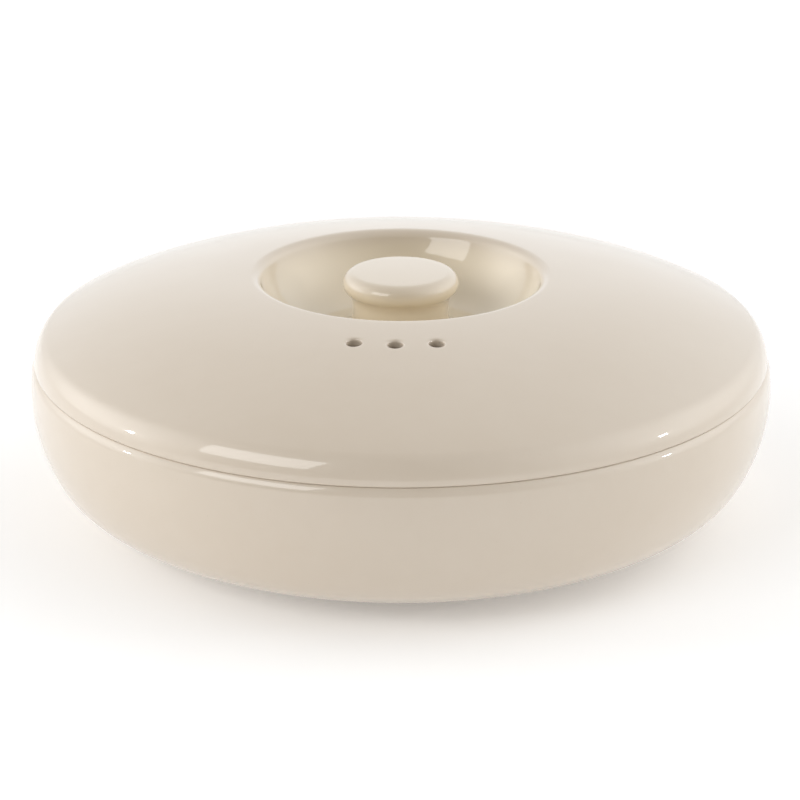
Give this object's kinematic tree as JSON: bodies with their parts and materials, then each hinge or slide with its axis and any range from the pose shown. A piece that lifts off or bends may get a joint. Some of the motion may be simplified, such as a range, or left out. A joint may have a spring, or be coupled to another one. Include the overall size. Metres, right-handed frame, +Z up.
{
  "type": "hot stone heater",
  "caption": "Round glazed stoneware vessel with a domed, vented lid, a knob in a finger well, and a perforated tray of basalt massage stones.",
  "frame": {"origin": "centre of the face that the foot ring rests on, on the vessel's axis", "axes": "+Z up along the vessel's axis, -Y towards the lid's three steam vents, +X to the right as seen from the vents"},
  "size_m": [0.2832, 0.2832, 0.0927],
  "materials": {
    "cream_glaze": "high-gloss cream glaze over buff stoneware, bare clay on the foot ring",
    "tray_glaze": "cream glaze, thinner on the edges of the drain holes",
    "basalt": "smooth tumbled basalt, dark grey, lightly oiled"
  },
  "bodies": {
    "bowl": {"bowl": "cream_glaze"},
    "lid": {"lid": "cream_glaze", "lid_knob": "cream_glaze"},
    "tray": {"stone_tray": "tray_glaze", "stone_large_1": "basalt", "stone_large_2": "basalt", "stone_large_3": "basalt", "stone_large_4": "basalt", "stone_large_5": "basalt", "stone_large_6": "basalt", "stone_large_7": "basalt", "stone_large_8": "basalt", "stone_medium_1": "basalt", "stone_medium_2": "basalt", "stone_medium_3": "basalt", "stone_medium_4": "basalt", "stone_small_1": "basalt", "stone_small_2": "basalt", "stone_small_3": "basalt", "stone_small_4": "basalt", "stone_small_5": "basalt"}
  },
  "joints": [
    {"name": "lid_lift", "type": "slide", "parent": "bowl", "child": "lid", "axis": [0, 0, 1], "range_m": [0, 0.16]},
    {"name": "tray_lift", "type": "slide", "parent": "bowl", "child": "tray", "axis": [0, 0, 1], "range_m": [0, 0.08]}
  ],
  "couplings": [
    {"joint": "tray_lift", "follows": "lid_lift", "ratio": 0.5}
  ]
}
